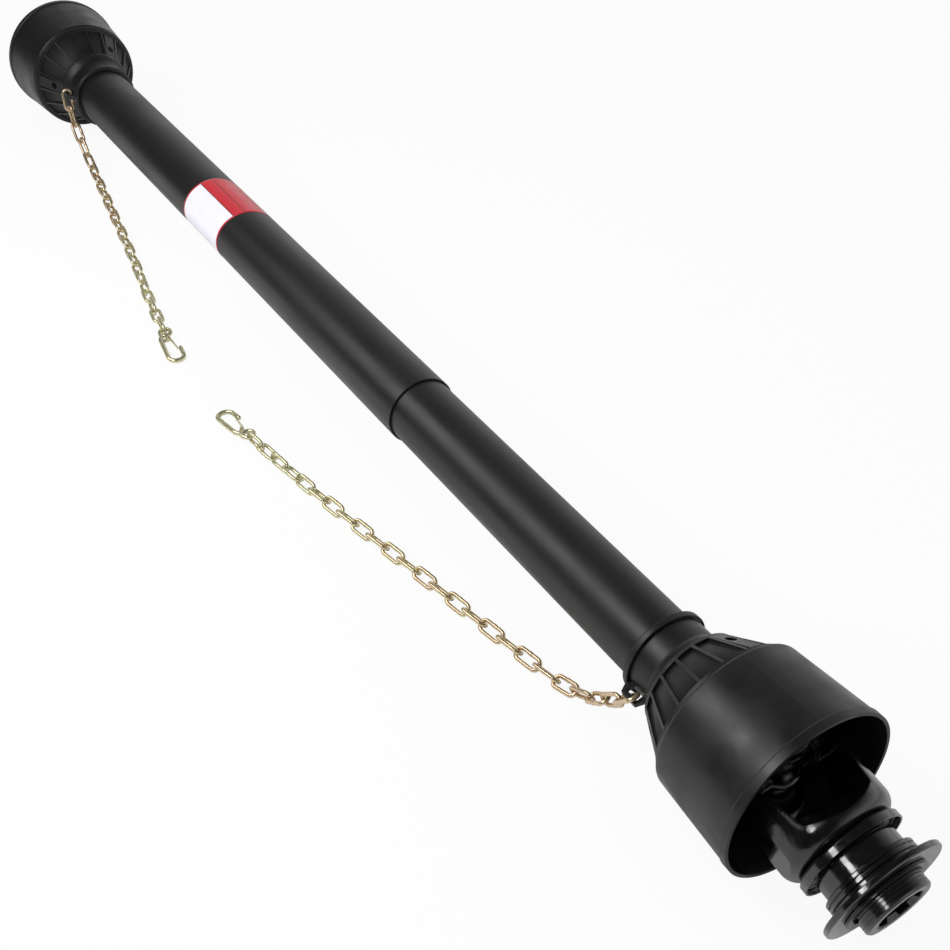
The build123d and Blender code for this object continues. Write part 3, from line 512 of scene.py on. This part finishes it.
def plain_metal(name, colour, roughness, metallic, grit_mm):
    """Ground or drawn steel: grey mirror broken by grit, with darker handling marks."""
    material, tree, point = start_material(name)
    bevel = bevelled(tree, 0.3 * MM)
    marks = remap(tree, mottle(tree, point, 6, 4), 0.4, 0.7, 0, 0.5)
    dark = tuple(c * 0.55 for c in colour)
    return close_material(
        material, tree,
        Base_Color=blend_colours(tree, marks, colour, dark),
        Metallic=metallic,
        Roughness=spread(tree, mottle(tree, point, 4, 3), roughness - 0.06, roughness + 0.1),
        Normal=relief(tree, mottle(tree, point, grit_mm, 2), 0.02, bevel),
    )


def soft_polymer(name, colour, roughness, ior, grain_mm):
    """Moulded rubber or nylon: even colour with a dull, slightly uneven skin."""
    material, tree, point = start_material(name)
    bevel = bevelled(tree, 0.4 * MM)
    shade = spread(tree, mottle(tree, point, 8, 3), 0, 0.4)
    return close_material(
        material, tree,
        Base_Color=blend_colours(tree, shade, colour, tuple(c * 0.8 for c in colour)),
        Roughness=spread(tree, mottle(tree, point, 5, 3), roughness - 0.06, roughness + 0.06),
        IOR=ior,
        Normal=relief(tree, mottle(tree, point, grain_mm, 2), 0.02, bevel),
    )


def printed_vinyl(name, colour):
    """Screen-printed vinyl: flat ink under a thin clear film, with a light sheen."""
    material, tree, point = start_material(name)
    film = mottle(tree, point, 12, 3)
    grain = mottle(tree, point, 1.2, 2)
    shade = spread(tree, film, 0, 0.12)
    return close_material(
        material, tree,
        Base_Color=blend_colours(tree, shade, tuple(colour), tuple(c * 0.86 for c in colour)),
        Roughness=spread(tree, film, 0.32, 0.4),
        IOR=1.5,
        Coat_Weight=0.3,
        Coat_Roughness=0.2,
        Normal=relief(tree, grain, 0.01),
    )


def link_points(name):
    """Points of each link in a chain's CAD node."""
    mesh = bmesh.new()
    mesh.from_mesh(nodes[name].data)
    bmesh.ops.remove_doubles(mesh, verts=mesh.verts, dist=0.001 * MM)
    found = set()
    links = []
    for seed in mesh.verts:
        if seed in found:
            continue
        found.add(seed)
        reached = [seed]
        for vert in reached:
            for edge in vert.link_edges:
                other = edge.other_vert(vert)
                if other not in found:
                    found.add(other)
                    reached.append(other)
        links.append(np.array([tuple(vert.co) for vert in reached]))
    mesh.free()
    return links


def link_frame(points):
    """Centre of a link, its long, wide and thin directions, and its size along each."""
    centre = points.mean(axis=0)
    axes = np.linalg.svd(points - centre, full_matrices=False)[2]
    spans = np.ptp((points - centre) @ axes.T, axis=0)
    order = np.argsort(-spans)
    return Vector(centre), [Vector(axes[i]) for i in order], [float(spans[i]) for i in order]


def link_wire(spans, design):
    """Centre line of a link: place along and across it, outward direction and swell at each step."""
    length, width, wire = spans
    weld_steps, weld_reach, weld_fall = 4, 1.8, 1.6
    bend = width / 2 - wire / 2
    straight = length / 2 - width / 2
    steps = []
    for side in (1, -1):
        for index in range(design.bend_steps + 1):
            angle = math.pi * (index / design.bend_steps - 0.5)
            out = (side * math.cos(angle), side * math.sin(angle))
            steps.append((side * straight + bend * out[0], bend * out[1], out, 0))
        if side == 1:
            for index in range(-weld_steps, weld_steps + 1):
                place = -index / weld_steps * weld_reach * design.weld_width
                swell = design.weld_swell * math.exp(-((place / design.weld_width) ** 2) * weld_fall)
                steps.append((place, bend, (0, 1), swell))
    return steps


def add_link(mesh, tint_layer, tint, centre, axes, spans, design):
    """One round-wire link with its weld, added to a bmesh."""
    long_way, wide_way, thin_way = axes
    rings = []
    for along, across, out, swell in link_wire(spans, design):
        middle = centre + long_way * along + wide_way * across
        outward = long_way * out[0] + wide_way * out[1]
        ring = []
        for index in range(design.wire_sides):
            turn = 2 * math.pi * index / design.wire_sides
            reach = spans[2] / 2 + design.plating + swell
            vert = mesh.verts.new(middle + (outward * math.cos(turn) + thin_way * math.sin(turn)) * reach)
            vert[tint_layer] = tint
            ring.append(vert)
        rings.append(ring)
    for first, second in zip(rings, rings[1:] + rings[:1]):
        for index in range(design.wire_sides):
            following = (index + 1) % design.wire_sides
            mesh.faces.new((first[index], first[following], second[following], second[index]))


def new_piece(name, mesh, materials, body):
    """Turns a bmesh into a smooth piece that rides on a body."""
    bmesh.ops.recalc_face_normals(mesh, faces=mesh.faces)
    data = bpy.data.meshes.new(name)
    mesh.to_mesh(data)
    mesh.free()
    for polygon in data.polygons:
        polygon.use_smooth = True
    for material in materials:
        data.materials.append(material)
    piece = bpy.data.objects.new(name, data)
    bpy.context.scene.collection.objects.link(piece)
    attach(piece, body)
    return piece


def tractor_bore():
    """Mouth and direction of the tractor yoke's splined bore."""
    bore = mounts["tractor_splined_bore"]
    return Vector(bore["pos_m"]), Vector(bore["axis"]).normalized()


class DRIVESHAFT_OT_guards(bpy.types.Operator):
    """Finish the bells, guard tubes and guard bearings"""

    bl_idname = "driveshaft.guards"
    bl_label = "Guards"

    def execute(self, context):
        finish = context.scene.shaft_guard
        near_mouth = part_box("tractor_bell")[1][0]
        far_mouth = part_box("implement_bell")[0][0]
        dress(moulded_polyethylene(finish, "tractor_end", near_mouth, -1), "tractor_bell")
        dress(moulded_polyethylene(finish, "implement_end", far_mouth, 1), "implement_bell")
        dress(extruded_polyethylene(finish), "inner_guard_tube", "outer_guard_tube")
        nylon = soft_polymer("moulded_nylon", linear("#e3e0d3"), 0.38, 1.53, 1.0)
        dress(nylon, "tractor_guard_bearing", "implement_guard_bearing")
        return {"FINISHED"}


class DRIVESHAFT_OT_forks(bpy.types.Operator):
    """Finish the four yokes and the set screws"""

    bl_idname = "driveshaft.forks"
    bl_label = "Forks"

    def execute(self, context):
        finish = context.scene.shaft_metal
        dress(enamelled_forging(finish), "tractor_shaft_yoke", "implement_shaft_yoke", "implement_yoke")
        origin, axis = tractor_bore()
        dress(forging_with_hub(finish, origin, axis, HUB_LENGTH), "tractor_yoke")
        dress(plain_metal("blackened_screws", linear("#3c3c3e"), 0.35, 1.0, 0.6), "implement_set_screws")
        return {"FINISHED"}


class DRIVESHAFT_OT_crosses(bpy.types.Operator):
    """Finish the spiders, bearing cups, circlips, seals and grease nipples"""

    bl_idname = "driveshaft.crosses"
    bl_label = "Crosses"

    def execute(self, context):
        finish = context.scene.shaft_metal
        sprayed = enamelled_forging(finish, "oversprayed_steel")
        ground = plain_metal("ground_bearing_steel", linear("#77777a"), 0.28, 1.0, 0.5)
        clip = plain_metal("phosphated_spring_steel", linear("#3a3a3c"), 0.4, 1.0, 0.6)
        rubber = soft_polymer("nitrile_rubber", linear("#161616"), 0.55, 1.52, 0.8)
        for half in ("tractor", "implement"):
            dress(sprayed, f"{half}_spider")
            dress(sprayed, f"{half}_shaft_cups", f"{half}_yoke_cups")
            dress(clip, f"{half}_shaft_circlips", f"{half}_yoke_circlips")
            dress(rubber, f"{half}_spider_seals")
            dress(ground, f"{half}_grease_nipple")
        return {"FINISHED"}


class DRIVESHAFT_OT_telescope(bpy.types.Operator):
    """Finish the profile tubes and roll pins inside the guard"""

    bl_idname = "driveshaft.telescope"
    bl_label = "Telescope"

    def execute(self, context):
        tube = plain_metal("drawn_steel_tube", linear("#6d6d70"), 0.36, 1.0, 0.9)
        pin = plain_metal("hardened_pin_steel", linear("#4a4a4c"), 0.34, 1.0, 0.6)
        dress(tube, "outer_profile_tube", "inner_profile_tube")
        dress(pin, "tractor_roll_pin", "implement_roll_pin")
        return {"FINISHED"}


class DRIVESHAFT_OT_collar(bpy.types.Operator):
    """Finish the lock collar, its cup, washer, snap ring, spring and balls"""

    bl_idname = "driveshaft.collar"
    bl_label = "Lock collar"

    def execute(self, context):
        finish = context.scene.shaft_metal
        origin, axis = tractor_bore()
        turned = blackened_steel("oiled_black_collar", finish.collar_colour, origin, axis, 0.17, 0.5)
        pressed = blackened_steel("oiled_black_pressing", finish.collar_colour, origin, axis, 0.17, 0.5)
        rings = blackened_steel("black_ring_steel", linear("#1a1a1b"), origin, axis, 0.3, 0.3)
        dress(turned, "lock_collar")
        dress(pressed, "collar_cup")
        dress(rings, "collar_washer", "collar_snap_ring")
        dress(plain_metal("spring_wire", linear("#6a6a6d"), 0.32, 1.0, 0.5), "collar_spring")
        balls = plain_metal("polished_ball_steel", linear("#a5a5a8"), 0.16, 1.0, 0.5)
        dress(balls, "lock_ball_1", "lock_ball_2", "lock_ball_3")
        return {"FINISHED"}


class DRIVESHAFT_OT_label(bpy.types.Operator):
    """Wrap the blank printed label round the outer guard tube"""

    bl_idname = "driveshaft.label"
    bl_label = "Label"

    def execute(self, context):
        design = context.scene.shaft_label
        lowest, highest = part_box("outer_guard_tube")
        radius = (highest.z - lowest.z) / 2
        arc = (design.last_angle - design.first_angle) * radius
        band = (design.band_angle - design.first_angle) * radius
        rule_width = 0.7 * MM
        first_rule = 0.66 * band
        rules = [(start, start + rule_width) for start in (first_rule, band)]
        arc_steps, corner_steps, panel_steps = 90, 6, 6
        turns = [math.pi / 2 * step / corner_steps for step in range(corner_steps + 1)]
        bends = [design.corner * (1 - math.cos(turn)) for turn in turns]
        stops = {0, design.border, arc - design.border, arc}
        stops.update(stop for pair in rules for stop in pair)
        stops.update(bends)
        stops.update(arc - bend for bend in bends)
        stops.update(arc * step / arc_steps for step in range(1, arc_steps))
        stops = sorted(stops)
        skin = radius + design.thickness
        mesh = bmesh.new()
        rows = []
        for reach in stops:
            edge = min(reach, arc - reach)
            inset = 0.0
            if edge < design.corner:
                inset = design.corner - math.sqrt(design.corner**2 - (design.corner - edge) ** 2)
            angle = design.first_angle + reach / radius
            shift = design.start + design.skew * (math.pi - angle) / (2 * math.pi)
            first, last = shift + inset, shift + design.length - inset
            middle = [first + (last - first) * step / panel_steps for step in range(1, panel_steps)]
            lines = [first, first + design.border, *middle, last - design.border, last]
            rows.append([mesh.verts.new((x, math.cos(angle) * skin, math.sin(angle) * skin)) for x in lines])
        red, white, dark = range(3)
        last_column = len(rows[0]) - 2
        for index, (row, following) in enumerate(zip(rows, rows[1:])):
            reach = (stops[index] + stops[index + 1]) / 2
            at_end = reach < design.border or reach > arc - design.border
            ink = dark if any(low < reach < high for low, high in rules) else red if reach < band else white
            for column in range(last_column + 1):
                corners = (row[column], row[column + 1], following[column + 1], following[column])
                bordered = at_end or column in (0, last_column)
                mesh.faces.new(corners).material_index = red if bordered else ink
        inks = [
            printed_vinyl("vinyl_printed_red", design.red),
            printed_vinyl("vinyl_bare_white", design.white),
            printed_vinyl("vinyl_printed_rule", design.rule),
        ]
        label = new_piece("tube_label", mesh, inks, "implement_guard")
        film = label.modifiers.new("film", "SOLIDIFY")
        film.thickness = design.thickness * 0.9
        film.offset = -1
        return {"FINISHED"}


class DRIVESHAFT_OT_chains(bpy.types.Operator):
    """Draw the welded chains in round wire and finish the hooks"""

    bl_idname = "driveshaft.chains"
    bl_label = "Chains and hooks"

    def execute(self, context):
        design = context.scene.shaft_chain
        zinc = yellow_zinc(context.scene.shaft_metal)
        shades = random.Random(7)
        for half in ("tractor", "implement"):
            mesh = bmesh.new()
            tint_layer = mesh.verts.layers.float.new("tint")
            for points in link_points(f"{half}_chain"):
                centre, axes, spans = link_frame(points)
                add_link(mesh, tint_layer, shades.uniform(-0.12, 0.14), centre, axes, spans, design)
            chain = new_piece(f"{half}_chain_links", mesh, [zinc], f"{half}_guard")
            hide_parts(f"{half}_chain")
            dress(zinc, f"{half}_chain_hook", f"{half}_hook_gate")
        return {"FINISHED"}


class DRIVESHAFT_OT_studio(bpy.types.Operator):
    """Set the camera, softboxes, even light and floor"""

    bl_idname = "driveshaft.studio"
    bl_label = "Studio"

    def execute(self, context):
        scene = context.scene
        view = scene.shaft_studio
        scene.view_settings.view_transform = "Standard"
        self.add_camera(scene, view)
        for name, place, target, size, power in (
            ("long_softbox", (0.62, -0.64, 0.8), (1.2, -0.03, 0.03), (1.27, 0.5), view.long_power),
            ("key_softbox", (0.8, -0.76, 0.99), (1.35, -0.04, 0.05), (0.2, 0.2), view.key_power),
            ("side_softbox", (1.36, -0.83, 0.6), (1.44, -0.02, 0.01), (0.2, 0.2), view.side_power),
        ):
            self.add_softbox(scene, name, place, target, size, power)
        self.add_world(scene, view.fill)
        self.add_floor(scene)
        return {"FINISHED"}

    def add_camera(self, scene, view):
        """Camera at the photo's place and angle."""
        turn, tilt = view.azimuth, view.elevation
        ahead = Vector((-math.sin(turn) * math.cos(tilt), math.cos(turn) * math.cos(tilt), -math.sin(tilt)))
        right = Vector((math.cos(turn), math.sin(turn), 0))
        up = right.cross(ahead)
        lens = bpy.data.cameras.new("photo_camera")
        lens.lens = view.lens
        lens.sensor_width = 36
        lens.clip_start = 0.01
        camera = bpy.data.objects.new("photo_camera", lens)
        scene.collection.objects.link(camera)
        turned = Matrix((right, up, -ahead)).transposed().to_4x4()
        camera.matrix_world = Matrix.Translation(view.position) @ turned
        scene.camera = camera

    def add_softbox(self, scene, name, place, target, size, power):
        """Rectangular light that faces a point, its long side along LONG_WAY."""
        light = bpy.data.lights.new(name, "AREA")
        light.shape = "RECTANGLE"
        light.size, light.size_y = size
        light.energy = power
        box = bpy.data.objects.new(name, light)
        scene.collection.objects.link(box)
        box.location = place
        ahead = (Vector(target) - Vector(place)).normalized()
        side = (LONG_WAY - ahead * ahead.dot(LONG_WAY)).normalized()
        box.rotation_euler = Matrix((side, side.cross(ahead), -ahead)).transposed().to_euler()

    def add_world(self, scene, fill):
        """Even light, and for reflections a white wall on the far side that darkens overhead."""
        world = bpy.data.worlds.new("studio_world")
        world.use_nodes = True
        scene.world = world
        tree = world.node_tree
        tree.nodes.clear()
        direction = add_node(tree, "ShaderNodeTexCoord").outputs["Generated"]
        toward = add_node(tree, "ShaderNodeSeparateXYZ", {0: direction}).outputs
        path = add_node(tree, "ShaderNodeLightPath").outputs
        dark = 0.06
        wall = remap(tree, toward["Z"], 0.1, 0.85, 1.0, dark)
        far_side = remap(tree, toward["Y"], -0.25, 0.25, 0, 1)
        mirrored = blend_values(tree, far_side, dark, wall)
        seen = blend_values(tree, path["Is Glossy Ray"], fill, mirrored)
        level = blend_values(tree, path["Is Camera Ray"], seen, 1.0)
        background = add_node(tree, "ShaderNodeBackground", {"Color": (1, 1, 1, 1), "Strength": level})
        add_node(tree, "ShaderNodeOutputWorld", {"Surface": background.outputs[0]})

    def add_floor(self, scene):
        """White paper just under the lowest point of the shaft."""
        reach = 6.0
        paper_white = 0.86
        own_glow = 0.92
        height = cad_box[0][2] - 0.05 * MM
        mesh = bmesh.new()
        corners = ((-reach, -reach), (reach, -reach), (reach, reach), (-reach, reach))
        mesh.faces.new([mesh.verts.new((x, y, height)) for x, y in corners])
        data = bpy.data.meshes.new("studio_floor")
        mesh.to_mesh(data)
        mesh.free()
        floor = bpy.data.objects.new("studio_floor", data)
        scene.collection.objects.link(floor)
        material, tree, point = start_material("white_studio_paper")
        path = add_node(tree, "ShaderNodeLightPath").outputs
        across = add_node(tree, "ShaderNodeSeparateXYZ", {0: point}).outputs["Y"]
        near_edge = remap(tree, across, -0.35, -0.7, 0, 0.9)
        beyond = combine(tree, "MULTIPLY", path["Is Glossy Ray"], near_edge)
        tone = blend_colours(tree, beyond, (paper_white, paper_white, paper_white), (0, 0, 0))
        paper = add_node(tree, "ShaderNodeBsdfDiffuse", {"Color": tone})
        glow = add_node(tree, "ShaderNodeEmission", {"Color": (1, 1, 1, 1), "Strength": 1.0})
        share = combine(tree, "MULTIPLY", path["Is Camera Ray"], own_glow)
        mixed = add_node(tree, "ShaderNodeMixShader", {0: share, 1: paper.outputs[0], 2: glow.outputs[0]})
        add_node(tree, "ShaderNodeOutputMaterial", {"Surface": mixed.outputs[0]})
        data.materials.append(material)


class DRIVESHAFT_PT_panel(bpy.types.Panel):
    """Sizes, finishes and steps of the drive shaft"""

    bl_idname = "DRIVESHAFT_PT_panel"
    bl_label = "Drive Shaft"
    bl_space_type = "VIEW_3D"
    bl_region_type = "UI"
    bl_category = "Drive Shaft"

    def draw(self, context):
        for name, group in settings.items():
            box = self.layout.box()
            box.label(text=group.__doc__)
            for key in group.__annotations__:
                box.prop(getattr(context.scene, name), key)
        for operator in operators:
            self.layout.operator(operator.bl_idname)


settings = {
    "shaft_guard": GuardFinish,
    "shaft_metal": MetalFinish,
    "shaft_label": LabelDesign,
    "shaft_chain": ChainDesign,
    "shaft_studio": StudioView,
}
operators = (
    DRIVESHAFT_OT_guards,
    DRIVESHAFT_OT_forks,
    DRIVESHAFT_OT_crosses,
    DRIVESHAFT_OT_telescope,
    DRIVESHAFT_OT_collar,
    DRIVESHAFT_OT_label,
    DRIVESHAFT_OT_chains,
    DRIVESHAFT_OT_studio,
)


def register():
    """Adds the settings, steps and panel to Blender."""
    for item in (*settings.values(), *operators, DRIVESHAFT_PT_panel):
        bpy.utils.register_class(item)
    for name, group in settings.items():
        setattr(bpy.types.Scene, name, PointerProperty(type=group))


def unregister():
    """Takes them out again."""
    for name in settings:
        delattr(bpy.types.Scene, name)
    for item in (DRIVESHAFT_PT_panel, *reversed(operators), *settings.values()):
        bpy.utils.unregister_class(item)


def main():
    """Runs every step."""
    register()
    bpy.ops.driveshaft.guards()
    bpy.ops.driveshaft.forks()
    bpy.ops.driveshaft.crosses()
    bpy.ops.driveshaft.telescope()
    bpy.ops.driveshaft.collar()
    bpy.ops.driveshaft.label()
    bpy.ops.driveshaft.chains()
    bpy.ops.driveshaft.studio()


if __name__ == "__main__":
    main()
